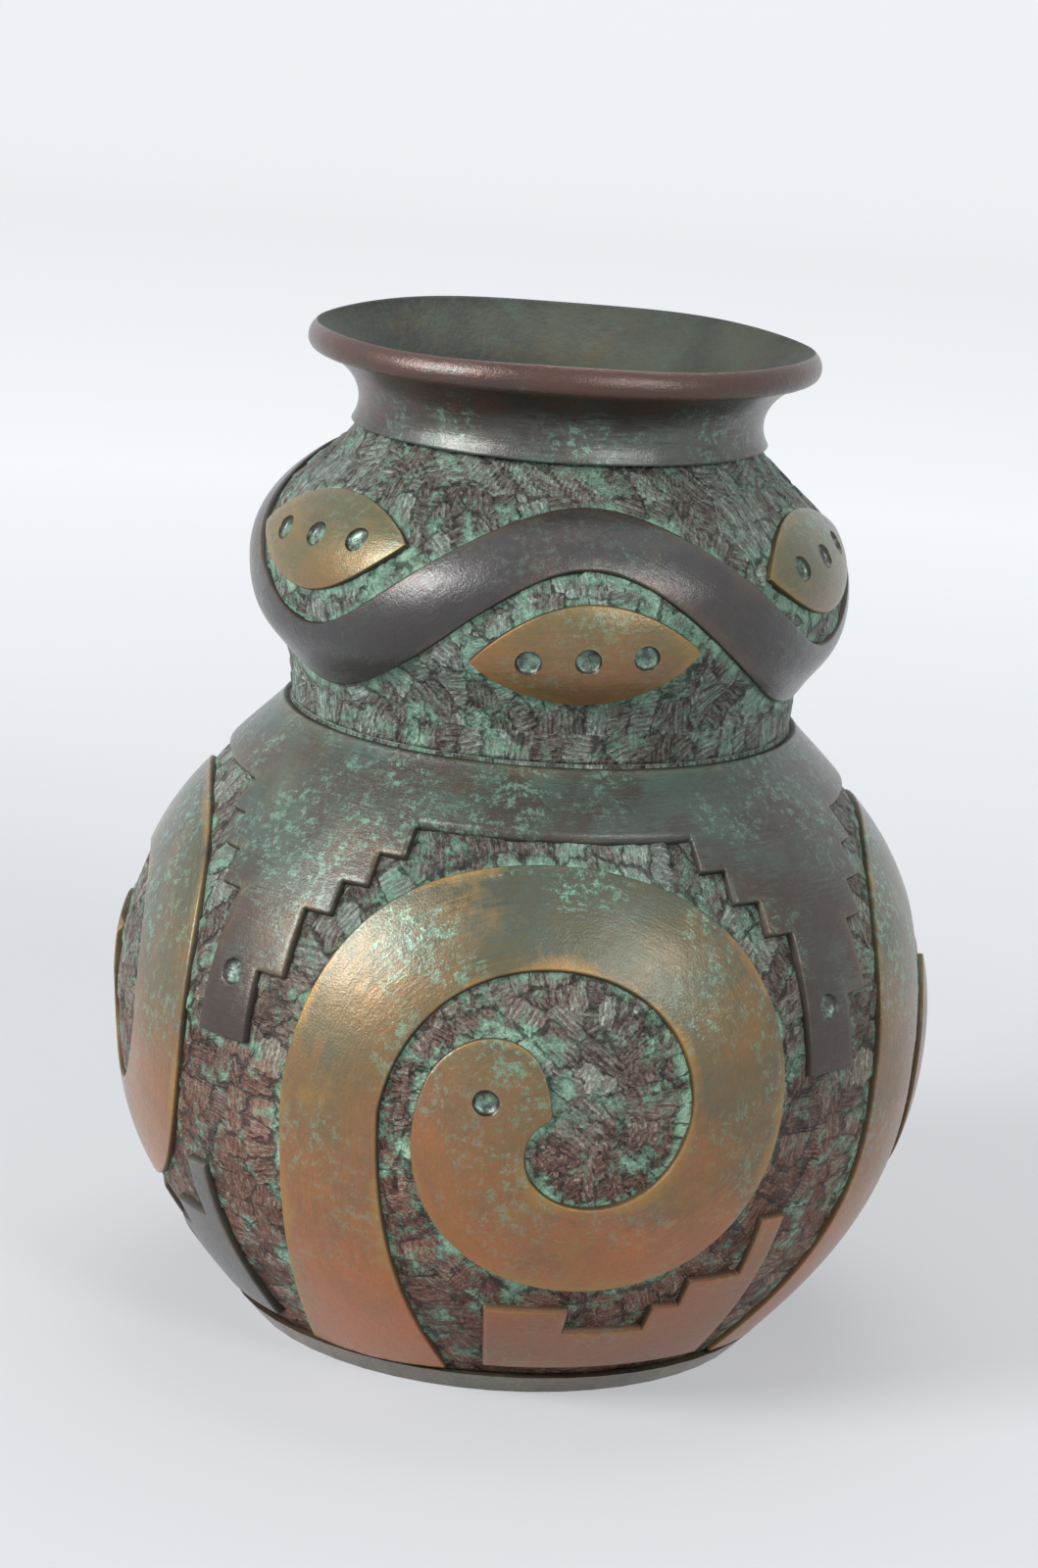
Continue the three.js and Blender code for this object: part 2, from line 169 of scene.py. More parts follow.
# Belly: the big lower casting in silicon bronze. Its outside is a sunk ground, cut with a flat chisel
# in short blocks of parallel strokes that follow the edges of the raised ornament.
mm = 0.001
foot_radius = 78 * mm
belly_radius = 125.4 * mm
waist_radius = 77.7 * mm
bulb_radius = 90.6 * mm
neck_radius = 60.5 * mm
lip_underside_radius = 72.5 * mm
belly_height = 101 * mm
waist_height = belly_height + 90 * mm
bulb_height = waist_height + 42.5 * mm
neck_height = bulb_height + 48 * mm
lip_underside_height = neck_height + 14.5 * mm
relief = 2.3 * mm
wall_thickness = 4.5 * mm
clearance = 0.3 * mm
foot_band = 6.8 * mm
lap = 6 * mm
collar_seam = neck_height - 6.3 * mm
inner_depth = relief + wall_thickness
lap_depth = relief + wall_thickness / 2
lap_spacing = 2 * mm


def cubic(corners, steps):
    """A cubic Bezier: the four corners weighted by (1-t)^3, 3t(1-t)^2, 3t^2(1-t) and t^3."""
    a, b, c, d = (np.array(p, float) for p in corners)
    t = np.linspace(0, 1, steps)[:, None]
    return (1 - t) ** 3 * a + 3 * t * (1 - t) ** 2 * b + 3 * t**2 * (1 - t) * c + t**3 * d


def run_along(x, y):
    """How far each point of a line is from its start, along the line."""
    return np.concatenate([[0], np.cumsum(np.hypot(np.diff(x), np.diff(y)))])


def upright(low_radius, low, low_share, high_radius, high, high_share, spread=0):
    """A cubic between two rings of the outline. It runs upright for a share of the rise at each end,
    and its foot may lean out by the spread."""
    rise = high - low
    first = (low_radius + spread, low + low_share * rise)
    return (low_radius, low), first, (high_radius, high - high_share * rise), (high_radius, high)


flare = lip_underside_radius - neck_radius
outline_curves = (
    upright(foot_radius, 0, 0.275, belly_radius, belly_height, 0.46, 0.535 * (belly_radius - foot_radius)),
    upright(belly_radius, belly_height, 0.61, waist_radius, waist_height, 0.055),
    upright(waist_radius, waist_height, 0.58, bulb_radius, bulb_height, 0.58),
    upright(bulb_radius, bulb_height, 0.545, neck_radius, neck_height, 0.3),
    (
        (neck_radius, neck_height),
        (neck_radius, neck_height + 0.48 * (lip_underside_height - neck_height)),
        (lip_underside_radius - flare / 2, lip_underside_height - 0.37 * flare / 2),
        (lip_underside_radius, lip_underside_height),
    ),
)
outline_steps = 400
outline = np.concatenate([cubic(c, outline_steps)[1 if k else 0 :] for k, c in enumerate(outline_curves)])
outline_run = run_along(*outline.T)
outline_way = np.gradient(outline, axis=0)
outline_way /= np.hypot(*outline_way.T)[:, None]


def length_at(height):
    """How far along the outline, from the floor, a height is reached."""
    return np.interp(height, outline[:, 1], outline_run)


def radius_at(length):
    """The outline's radius at a length along it."""
    return np.interp(length, outline_run, outline[:, 0])


def around_axis(angle, radius, height):
    """Points at this angle about Z, this far from it and this high."""
    return np.stack(np.broadcast_arrays(radius * np.cos(angle), radius * np.sin(angle), height), axis=-1)


def wall_points(angle, length, depth):
    """Points of the wall: the outline at this length, moved inwards by the depth along its normal, and
    turned about the axis by the angle."""
    reach = radius_at(length) - depth * np.interp(length, outline_run, outline_way[:, 1])
    height = np.interp(length, outline_run, outline[:, 1])
    height = height + depth * np.interp(length, outline_run, outline_way[:, 0])
    return around_axis(angle, reach, height)


def length_where(height, depth):
    """How far along the outline lies the point of the wall that has this height at this depth."""
    return np.interp(height, outline[:, 1] + depth * outline_way[:, 0], outline_run)


def wall_profile(low, high, depth, spacing):
    """Points (radius, height) of the wall at one depth, from one height to another."""
    steps = max(int(abs(high - low) / spacing), 2)
    lengths = np.linspace(length_where(low, depth), length_where(high, depth), steps + 1)
    return wall_points(0, lengths, depth)[:, [0, 2]]


def closed_quads(columns, rows):
    """The quads of a lattice of points that closes on itself both ways, and their places i and j."""
    i, j = np.meshgrid(np.arange(columns), np.arange(rows), indexing="ij")
    i_next, j_next = (i + 1) % columns, (j + 1) % rows
    corners = [i * rows + j, i_next * rows + j, i_next * rows + j_next, i * rows + j_next]
    return np.stack(corners, axis=-1), i, j


def mesh_piece(name, points, faces, materials, material_of_face=None, uv=None, marks={}):
    """Makes a smooth object at the origin from arrays of points and quads. UVs are millimetres along
    the wall, one for each corner of each face, and marks are named numbers, one for each point."""
    mesh = bpy.data.meshes.new(name)
    mesh.vertices.add(points.size // 3)
    mesh.vertices.foreach_set("co", points.astype(np.float32).ravel())
    mesh.loops.add(faces.size)
    mesh.loops.foreach_set("vertex_index", faces.astype(np.int32).ravel())
    mesh.polygons.add(faces.size // 4)
    mesh.polygons.foreach_set("loop_start", np.arange(0, faces.size, 4, dtype=np.int32))
    mesh.polygons.foreach_set("use_smooth", np.ones(faces.size // 4, bool))
    for material in materials:
        mesh.materials.append(material)
    if material_of_face is not None:
        mesh.polygons.foreach_set("material_index", material_of_face.astype(np.int32).ravel())
    mesh.update(calc_edges=True)
    if uv is not None:
        layer = mesh.uv_layers.new(name="wall_mm")
        layer.data.foreach_set("uv", uv.astype(np.float32).ravel())
    for mark, values in marks.items():
        attribute = mesh.attributes.new(mark, "FLOAT", "POINT")
        attribute.data.foreach_set("value", values.astype(np.float32).ravel())
    piece = bpy.data.objects.new(name, mesh)
    bpy.context.scene.collection.objects.link(piece)
    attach(piece, "root")
    return piece


# The running scroll's own line, which the chisel follows: a coil that opens out from a round head,
# and a stem down to the foot. Its size follows the room between the shoulder ring and the foot.
scroll_count = 4
scroll_spacing = 2 * math.pi / scroll_count
front_scroll = math.radians(-82)
channel = 7.5 * mm
shoulder_ring = 24 * mm
scroll_band = 32 * mm
coil_gap = 12 * mm
scroll_pitch = scroll_band + coil_gap
head_radius = 18.5 * mm
stem_foot = 46 * mm
stem_gap = 0.75 * mm
coil_drop = 4 * mm
scroll_turns = 1.17
ring_foot = length_at(waist_height) - clearance - shoulder_ring
scroll_centre = length_at(belly_height) - coil_drop
scroll_reach = ring_foot - channel - scroll_centre - scroll_band / 2 + scroll_pitch / 4
inner_reach = scroll_reach - scroll_pitch * scroll_turns
coil_run = 2 * math.pi * scroll_turns * (scroll_reach - scroll_pitch * scroll_turns / 2)
stem_run = scroll_centre - length_at(foot_band) - stem_gap
stem_angle = scroll_reach / radius_at(scroll_centre)


def scroll_path(share):
    """Round-the-wall x, up-the-wall y and heading: an Archimedean spiral whose reach squared grows
    evenly with the run, and then a line down a meridian."""
    run = share * (coil_run + stem_run)
    along = np.clip(run / coil_run, 0, 1)
    reach = np.sqrt(inner_reach**2 + along * (scroll_reach**2 - inner_reach**2))
    turn = math.pi - 2 * math.pi * (scroll_reach - reach) / scroll_pitch
    down = np.minimum(coil_run - run, 0)
    on_stem = run > coil_run
    x = np.where(on_stem, -stem_angle * radius_at(scroll_centre + down), reach * np.cos(turn))
    y = np.where(on_stem, down, reach * np.sin(turn))
    return x, y, np.where(on_stem, -math.pi / 2, turn + math.pi / 2)


def scroll_half_width(share):
    """A half-round head, then the band's half width, then a flare with the square of the way down."""
    run = share * (coil_run + stem_run)
    head = head_radius * np.sqrt(np.clip(1 - (1 - np.minimum(run / head_radius, 1)) ** 2, 0, 1))
    settle = np.clip((run - head_radius) / (2 * head_radius), 0, 1)
    flared = np.clip((run - coil_run) / stem_run, 0, 1)
    return head + settle * (scroll_band / 2 - head_radius) + flared**2 * (stem_foot - scroll_band) / 2


def band_line(path, half_width, samples, turned, centre):
    """Samples of a band on the wall: angle, length, heading, run and half width, one row for each."""
    share = np.linspace(0, 1, samples)
    x, y, heading = path(share)
    turn = turned + x / radius_at(centre + y)
    return np.stack([turn, centre + y, heading, run_along(x, y), half_width(share)])


def nearest_band(angle, length, lines):
    """For points of the wall: the index of the nearest sample, by its distance less its half width,
    and that distance from the band's edge."""
    best = np.full(angle.shape, np.inf)
    index = np.zeros(angle.shape, int)
    radius = radius_at(length)
    for k in range(lines.shape[1]):
        gap = np.hypot((angle - lines[0, k]) * radius, length - lines[1, k]) - lines[4, k]
        nearer = gap < best
        best = np.where(nearer, gap, best)
        index = np.where(nearer, k, index)
    return index, best


edge_reach = 5 * mm
draw_reach = 3 * mm
least_away = 0.001 * mm
plug_radius = 4 * mm
socket_radius = plug_radius + clearance
socket_depth = 3 * mm
socket_taper = 0.35 * mm


def drawn_in(x, y, spots, radius):
    """Moves lattice points that are near a circle round one of the spots closer to it, by the cube of
    their distance from it, so that the lattice is fine there."""
    for spot_x, spot_y in spots:
        away = np.maximum(np.hypot(x - spot_x, y - spot_y), least_away)
        off = away - radius
        pull = np.where(np.abs(off) < draw_reach, (radius + off**3 / draw_reach**2) / away, 1)
        x, y = spot_x + (x - spot_x) * pull, spot_y + (y - spot_y) * pull
    return x, y


block_size = 9 * mm
block_lean = 0.38 * mm
block_level = 0.12 * mm
block_fade = 3 * mm
chisel = np.random.default_rng(7)


def chisel_blocks(turn, length, fold):
    """How much deeper than the plain ground the chisel went. Each point takes the nearest of a
    jittered grid of block centres, and each block is a plane with a lean and a level of its own. The
    blocks repeat in each of the equal parts, and fade out at the two ends."""
    part = 2 * math.pi / fold
    radius = radius_at(length)
    low, high = length[0, 0], length[0, -1]
    across = round(part * radius.mean() / block_size)
    up = round((high - low) / block_size)
    nearest = np.full(turn.shape, np.inf)
    cut = np.zeros(turn.shape)
    for k in range(across * up):
        shift_x, shift_y, way, level = chisel.random(4)
        centre_turn = (k % across + shift_x) * part / across
        dx = ((turn - centre_turn + part / 2) % part - part / 2) * radius
        dy = length - low - (k // across + shift_y) * (high - low) / up
        away = np.hypot(dx, dy)
        uphill = (dx * math.cos(2 * math.pi * way) + dy * math.sin(2 * math.pi * way)) / (block_size / 2)
        block = block_lean * np.clip(uphill, -1, 1) + block_level * (2 * level - 1)
        cut = np.where(away < nearest, block, cut)
        nearest = np.minimum(nearest, away)
    return cut * np.clip(np.minimum(length - low, high - length) / block_fade, 0, 1)


def chiselled_shell(name, outside, inside, columns, fold, start, lines, borders, sockets, materials):
    """A closed body of revolution with a chiselled outside. The outside is a run of lengths at the
    ground's depth, the inside a profile of (radius, height) from top to bottom. U runs along the
    nearest band and V across it, in millimetres; in the borders U runs round the wall and V up it. The
    mark near_edge is 1 at a band's edge and falls to 0 over the edge reach. Sockets are the places
    (turn, length) of round holes for plugs in the first of the equal parts."""
    rows = len(outside)
    part = columns // fold
    turn, length = np.meshgrid(start + np.arange(part + 1) * 2 * math.pi / columns, outside, indexing="ij")
    depth = relief + chisel_blocks(turn, length, fold)
    for hole_turn, hole_length in sockets:
        around = radius_at(hole_length)
        x, y = drawn_in((turn - hole_turn) * around, length - hole_length, ((0, 0),), socket_radius)
        turn, length = hole_turn + x / around, hole_length + y
        off = np.hypot(x, y) - socket_radius
        depth = relief + (depth - relief) * np.clip(off / block_fade, 0, 1)
        depth += socket_depth * np.clip(-off / socket_taper, 0, 1)
    turns = 2 * math.pi / fold * np.arange(fold)
    sides = [wall_points(turn[:part] + by, length[:part], depth[:part]) for by in turns]
    inner_turn = start + np.arange(columns)[:, None] * 2 * math.pi / columns
    inner = around_axis(inner_turn, inside[:, 0], inside[:, 1])
    points = np.concatenate([np.concatenate(sides), inner], axis=1)
    total = points.shape[1]
    faces = closed_quads(columns, total)[0]
    middle_turn = (turn[:-1, :-1] + turn[1:, 1:]) / 2
    middle_length = (length[:-1, :-1] + length[1:, 1:]) / 2
    index, edge = nearest_band(middle_turn, middle_length, lines)
    near = lines[:, index]
    in_border = (middle_length < borders[0]) | (middle_length > borders[1])
    corners = []
    for di, dj in ((0, 0), (1, 0), (1, 1), (0, 1)):
        corner_turn = turn[di : part + di, dj : rows - 1 + dj]
        corner_length = length[di : part + di, dj : rows - 1 + dj]
        dx = (corner_turn - near[0]) * radius_at(near[1])
        dy = corner_length - near[1]
        along = dx * np.cos(near[2]) + dy * np.sin(near[2])
        across = -dx * np.sin(near[2]) + dy * np.cos(near[2])
        u = np.where(in_border, corner_turn * radius_at(middle_length), near[3] + along)
        v = np.where(in_border, corner_length, across)
        corners.append(np.stack([u, v], axis=-1))
    uv = np.zeros((columns, total, 4, 2))
    uv[:, : rows - 1] = np.tile(np.stack(corners, axis=2), (fold, 1, 1, 1)) / mm
    near_edge = np.zeros((columns, total))
    near_edge[:, : rows - 1] = np.tile(np.clip(1 - edge / edge_reach, 0, 1), (fold, 1))
    inner_face = np.zeros((columns, total), int)
    inner_face[:, rows:] = 1
    marks = {"near_edge": near_edge}
    return mesh_piece(name, points, faces, materials, inner_face, uv, marks)


multiply_add = {"operation": "MULTIPLY_ADD"}
of_colours = {"data_type": "RGBA"}
flat_noise = {"noise_dimensions": "2D"}


def laid(tree, under, over, value, low, high, most=1.0):
    """Lays one colour over another: not at all at the low value, and by this share at the high one."""
    share = add_node(tree, "MapRange", Value=value, From_Min=low, From_Max=high, To_Max=most)
    return add_node(tree, "Mix", of_colours, at_0=share, at_6=under, at_7=over).outputs[2]


def clouded(tree, under, over, place, size, low, high, most=1.0, grain=0.65):
    """Lays one colour over another in clouds of about this size, where noise runs from low to high.
    The grain is how strong the fine detail in the clouds is."""
    noise = add_node(tree, "TexNoise", Vector=place, Scale=1 / size, Detail=7.0, Roughness=grain)
    return laid(tree, under, over, noise, low, high, most)


def colour_run(tree, share, colours):
    """A colour ramp with its colours evenly spaced."""
    run = add_node(tree, "ValToRGB", at_0=share)
    elements = run.color_ramp.elements
    for k, colour in enumerate(colours):
        spot = k / (len(colours) - 1)
        element = elements[0] if k == 0 else elements[-1] if spot == 1 else elements.new(spot)
        element.color = linear(colour)
    return run


# Chiselled ground: bronze cut with a flat chisel and left matt. Verdigris stays in the cuts, dull
# maroon copper shows low down, and wax gives the ridges a small glint. Sizes without mm are on the
# wall's own map, whose unit is a millimetre, and a wave texture of scale 1 repeats every one_stroke.
stroke_spacing = 1.6
block_length = 7.5
block_width = 13.0
wobble_size = 4
gouge_width = 1.818
gouge_length = 5
lump_size = 5.263 * mm
crumb_size = 1.25 * mm
powder_size = 9.091 * mm
drift_size = 38.46 * mm
one_stroke = 2 * math.pi / 20
ground_bronze, tree = new_material("chiselled_verdigris_bronze")
wall_mm = add_node(tree, "UVMap", {"uv_map": "wall_mm"})
place = add_node(tree, "TexCoord").outputs["Object"]
near_edge = add_node(tree, "Attribute", {"attribute_name": "near_edge"}).outputs["Fac"]
squeezed = add_node(tree, "Mapping", Vector=wall_mm, Scale=(1 / block_length, 1 / block_width, 1))
wobble = add_node(tree, "TexNoise", flat_noise, Vector=wall_mm, Scale=1 / wobble_size, Detail=3.0)
wobble = wobble.outputs["Color"]
shaken = add_node(tree, "VectorMath", multiply_add, at_0=wobble, at_1=(0.45, 0.45, 0.0), at_2=squeezed)
flat_blocks = {"voronoi_dimensions": "2D"}
block_sides = {"voronoi_dimensions": "2D", "feature": "DISTANCE_TO_EDGE"}
blocks = add_node(tree, "TexVoronoi", flat_blocks, Vector=shaken, Scale=1.0, Randomness=0.6).outputs
creases = add_node(tree, "TexVoronoi", block_sides, Vector=shaken, Scale=1.0, Randomness=0.6)
lots = add_node(tree, "SeparateColor", Color=blocks["Color"]).outputs
within = add_node(tree, "VectorMath", {"operation": "SUBTRACT"}, at_0=shaken, at_1=blocks["Position"])
steepest = (2.2, 1.2, 0)
both_ways = [2 * slope for slope in steepest]
downwards = [-slope for slope in steepest]
lean_way = add_node(tree, "VectorMath", multiply_add, at_0=blocks["Color"], at_1=both_ways, at_2=downwards)
leaning = add_node(tree, "VectorMath", {"operation": "DOT_PRODUCT"}, at_0=within, at_1=lean_way)
lean = leaning.outputs["Value"]
swing = add_node(tree, "MapRange", Value=lots[0], To_Min=-0.35, To_Max=0.35)
crossed = add_node(tree, "Math", {"operation": "GREATER_THAN"}, at_0=lots[1], at_1=0.6)
stroke_angle = add_node(tree, "Math", multiply_add, at_0=crossed, at_1=1.4, at_2=swing)
turned = add_node(tree, "VectorRotate", {"rotation_type": "Z_AXIS"}, Vector=wall_mm, Angle=stroke_angle)
strokes = add_node(
    tree,
    "TexWave",
    {"wave_profile": "SAW"},
    Vector=turned,
    Scale=one_stroke / stroke_spacing,
    Distortion=5.0,
    Detail=3.0,
    Detail_Scale=1.6,
    Detail_Roughness=0.7,
).outputs[1]
long_cuts = add_node(tree, "Mapping", Vector=turned, Scale=(1 / gouge_width, 1 / gouge_length, 1))
gouges = add_node(tree, "TexNoise", flat_noise, Vector=long_cuts, Scale=1.0, Detail=5.0, Roughness=0.7)
height = add_node(tree, "SeparateXYZ", Vector=place).outputs["Z"]
drift = add_node(tree, "TexNoise", Vector=place, Scale=1 / drift_size, Detail=4.0, Roughness=0.6)
wander = add_node(tree, "Math", multiply_add, at_0=drift, at_1=0.16, at_2=height)
by_height = add_node(tree, "MapRange", Value=wander, From_Min=0.15, From_Max=0.25)
lumps = add_node(tree, "TexNoise", Vector=place, Scale=1 / lump_size, Detail=4.0, Roughness=0.6)
crumbs = add_node(tree, "TexNoise", Vector=place, Scale=1 / crumb_size, Detail=3.0, Roughness=0.7)
sharp = add_node(tree, "MapRange", Value=by_height, To_Min=0.35)
cut_depth = add_node(tree, "MapRange", Value=lumps, From_Min=0.38, From_Max=0.6, To_Max=0.35)
cuts = add_node(tree, "Math", {"operation": "MULTIPLY"}, at_0=strokes, at_1=cut_depth)
gouged = add_node(tree, "Math", multiply_add, at_0=gouges, at_1=1.8, at_2=cuts)
tooled = add_node(tree, "Math", multiply_add, at_0=gouged, at_1=sharp, at_2=lean)
frayed = add_node(tree, "Math", multiply_add, at_0=lumps, at_1=-0.5, at_2=creases)
crack = add_node(tree, "MapRange", Value=frayed, From_Min=-0.25, From_Max=-0.17)
parted = add_node(tree, "Math", multiply_add, at_0=crack, at_1=0.5, at_2=tooled)
lumpy = add_node(tree, "Math", multiply_add, at_0=lumps, at_1=0.9, at_2=parted)
rough_top = add_node(tree, "Math", multiply_add, at_0=crumbs, at_1=0.7, at_2=lumpy)
bump = add_node(tree, "Bump", Height=rough_top, Strength=1.0, Distance=mm)

# Painted shade and highlight: the colour runs from near black in the chisel's hollows to pale on its ridges,
# following the bump's strokes, gouges and crumbs, with a random tone for each block.
ridge = add_node(tree, "Math", multiply_add, at_0=strokes, at_1=0.22, at_2=gouges)
speckled = add_node(tree, "Math", multiply_add, at_0=crumbs, at_1=0.6, at_2=ridge)
toned = add_node(tree, "Math", multiply_add, at_0=lots[2], at_1=0.26, at_2=speckled)
relief_shade_and_tone = add_node(tree, "MapRange", Value=toned, From_Min=0.72, From_Max=1.36)
low_colour = colour_run(tree, relief_shade_and_tone, ("291c1a", "523630", "714c3e", "836757", "a29b8d"))
high_colour = colour_run(tree, relief_shade_and_tone, ("26211f", "55463f", "707068", "85958b", "b6c2b8"))
colour = laid(tree, low_colour, high_colour, by_height, 0, 1)
colour = clouded(tree, colour, linear("8a5a40"), place, 9 * mm, 0.58, 0.68, 0.4, 0.8)
powder = add_node(tree, "TexNoise", Vector=place, Scale=1 / powder_size, Detail=8.0, Roughness=0.8)
by_edge = add_node(tree, "MapRange", Value=near_edge, From_Min=0.3, To_Max=0.1)
gathered = add_node(tree, "Math", {"operation": "ADD"}, at_0=powder, at_1=by_edge)
verdigris, bloom, painted_crack_shade = linear("6b9a83"), linear("a6c8ae"), linear("231f1e")
colour = laid(tree, colour, verdigris, gathered, 0.52, 0.59, 0.75)
colour = laid(tree, colour, bloom, gathered, 0.58, 0.67, 0.75)
# Painted shade: the cracks between the chisel blocks, which the bump also sinks, are darkened.
colour = laid(tree, colour, painted_crack_shade, crack, 1, 0, 0.75)
gloss = add_node(tree, "MapRange", Value=lumps, From_Min=0.35, From_Max=0.65, To_Min=0.6, To_Max=0.38)
shader = add_node(tree, "BsdfPrincipled", Base_Color=colour, Metallic=0.3, Roughness=gloss, Normal=bump)
add_node(tree, "OutputMaterial", Surface=shader)

# Inside: the rough skin that the sand or shell mould leaves on a casting, with a thin olive and
# grey-green tarnish.
sand_grain = 2.381 * mm
sand_depth = 0.7 * mm
inside_bronze, tree = new_material("cast_olive_tarnished_bronze")
place = add_node(tree, "TexCoord").outputs["Object"]
colour = clouded(tree, linear("2b302a"), linear("3b3f33"), place, 30 * mm, 0.4, 0.6)
colour = clouded(tree, colour, linear("463b26"), place, 22 * mm, 0.54, 0.66, 0.6)
colour = clouded(tree, colour, linear("3d4b40"), place, 14 * mm, 0.54, 0.64, 0.6, 0.8)
sand = add_node(tree, "TexNoise", Vector=place, Scale=1 / sand_grain, Detail=4.0, Roughness=0.6)
pits = add_node(tree, "Bump", Height=sand, Strength=0.6, Distance=sand_depth)
shader = add_node(tree, "BsdfPrincipled", Base_Color=colour, Metallic=0.35, Roughness=0.55, Normal=pits)
add_node(tree, "OutputMaterial", Surface=shader)

scroll_samples = 260
belly_columns = 520
belly_rows = 156
belly_spacing = 6 * mm
plug_space = 11 * mm
plug_aside = math.radians(10)
scroll_turns_to = [front_scroll + k * scroll_spacing for k in (-1, 0, 1)]
scroll_lines = np.concatenate(
    [band_line(scroll_path, scroll_half_width, scroll_samples, to, scroll_centre) for to in scroll_turns_to],
    axis=1,
)
plug_turn = front_scroll + plug_aside
plug_length = scroll_centre - scroll_reach + 0.75 * scroll_pitch - scroll_band / 2 - plug_space
belly_ends = length_where(foot_band + clearance, relief), length_where(waist_height, relief)
belly_outside = np.linspace(*belly_ends, belly_rows)
belly_inside = np.concatenate(
    [
        wall_profile(waist_height, waist_height + lap, lap_depth, lap_spacing),
        wall_profile(waist_height + lap, foot_band + clearance, inner_depth, belly_spacing),
    ]
)
belly = chiselled_shell(
    "belly_shell",
    belly_outside,
    belly_inside,
    belly_columns,
    scroll_count,
    front_scroll - scroll_spacing / 2,
    scroll_lines,
    (0, 1),
    ((plug_turn, plug_length),),
    (ground_bronze, inside_bronze),
)
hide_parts("belly")

# Upper bulb: the smaller casting above the waist, socketed over the belly. Its ground is cut the same
# way, with a border of upright ticks under the collar and over the waist.
wave_count = 3
wave_spacing = 2 * math.pi / wave_count
wave_width = 22 * mm
border_width = 9 * mm
leaf_length = 68 * mm
leaf_width = 34 * mm
leaf_tilt = math.radians(5)
leaf_fullness = 0.8
leaf_point = 0.004
bulb_columns = 420
bulb_rows = 84
bulb_spacing = 5 * mm
wave_samples = 160
leaf_samples = 60
frieze_foot = length_at(waist_height) + border_width
frieze_top = length_at(collar_seam) - border_width
frieze_centre = (frieze_foot + frieze_top) / 2
wave_swing = (frieze_top - frieze_foot - wave_width) / 2 - channel / 2
leaf_offset = ((frieze_top - frieze_foot) / 2 - wave_swing + wave_width / 2) / 2


def wave_path(share):
    """One cosine wave from hollow to hollow, as x at the bulb's radius, y and heading."""
    x = (share - 0.5) * wave_spacing * bulb_radius
    turn = wave_count * x / bulb_radius
    slope = -wave_swing * wave_count / bulb_radius * np.sin(turn)
    y = wave_swing * np.cos(turn)
    return x * radius_at(frieze_centre + y) / bulb_radius, y, np.arctan(slope)


def wave_half_width(share):
    """The same all along."""
    return np.full_like(share, wave_width / 2)


def leaf_path(share):
    """A straight line, tilted a little."""
    along = (share - 0.5) * leaf_length
    return along * math.cos(leaf_tilt), along * math.sin(leaf_tilt), np.full_like(share, leaf_tilt)


def leaf_half_width(share):
    """Half a sine wave, made fuller by a power below one. It stops just short of the points."""
    along = np.clip(share, leaf_point, 1 - leaf_point)
    return leaf_width / 2 * np.sin(math.pi * along) ** leaf_fullness


bulb_lines = []
for k in (-1, 0, 1):
    crest = front_scroll + k * wave_spacing
    bulb_lines.append(band_line(wave_path, wave_half_width, wave_samples, crest, frieze_centre))
    for leaf_turn, leaf_centre in (
        (crest, frieze_centre - leaf_offset),
        (crest + wave_spacing / 2, frieze_centre + leaf_offset),
    ):
        bulb_lines.append(band_line(leaf_path, leaf_half_width, leaf_samples, leaf_turn, leaf_centre))
bulb_ends = length_where(waist_height + clearance, relief), length_where(collar_seam, relief)
bulb_outside = np.linspace(*bulb_ends, bulb_rows)
socket = waist_height + clearance
bulb_inside = np.concatenate(
    [
        wall_profile(collar_seam, collar_seam + lap, lap_depth, lap_spacing),
        wall_profile(collar_seam + lap, socket + lap, inner_depth, bulb_spacing),
        wall_profile(socket + lap, socket, lap_depth - clearance, lap_spacing),
    ]
)
bulb = chiselled_shell(
    "bulb_shell",
    bulb_outside,
    bulb_inside,
    bulb_columns,
    wave_count,
    front_scroll - wave_spacing / 2,
    np.concatenate(bulb_lines, axis=1),
    (frieze_foot, frieze_top),
    (),
    (ground_bronze, inside_bronze),
)
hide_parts("upper_bulb")


# Waxed patinas: bronze that is torched and brushed with hot chemicals, then waxed and buffed. The
# colour drifts with height and clouds over, verdigris powders it, and edges are rubbed to ochre. The
# streak's sizes are on the wall's own map, and the two lifts are what the noise adds on average.
patch_size = 45.45 * mm
flock_size = 22.22 * mm
hammer_size = 16.67 * mm
polish_size = 0.6667 * mm
polish_depth = 0.25 * mm
comb_reach = 20 * mm
streak_length = 12.5
streak_width = 1.25
height_lift = 70 * mm
dull_lift = 0.38


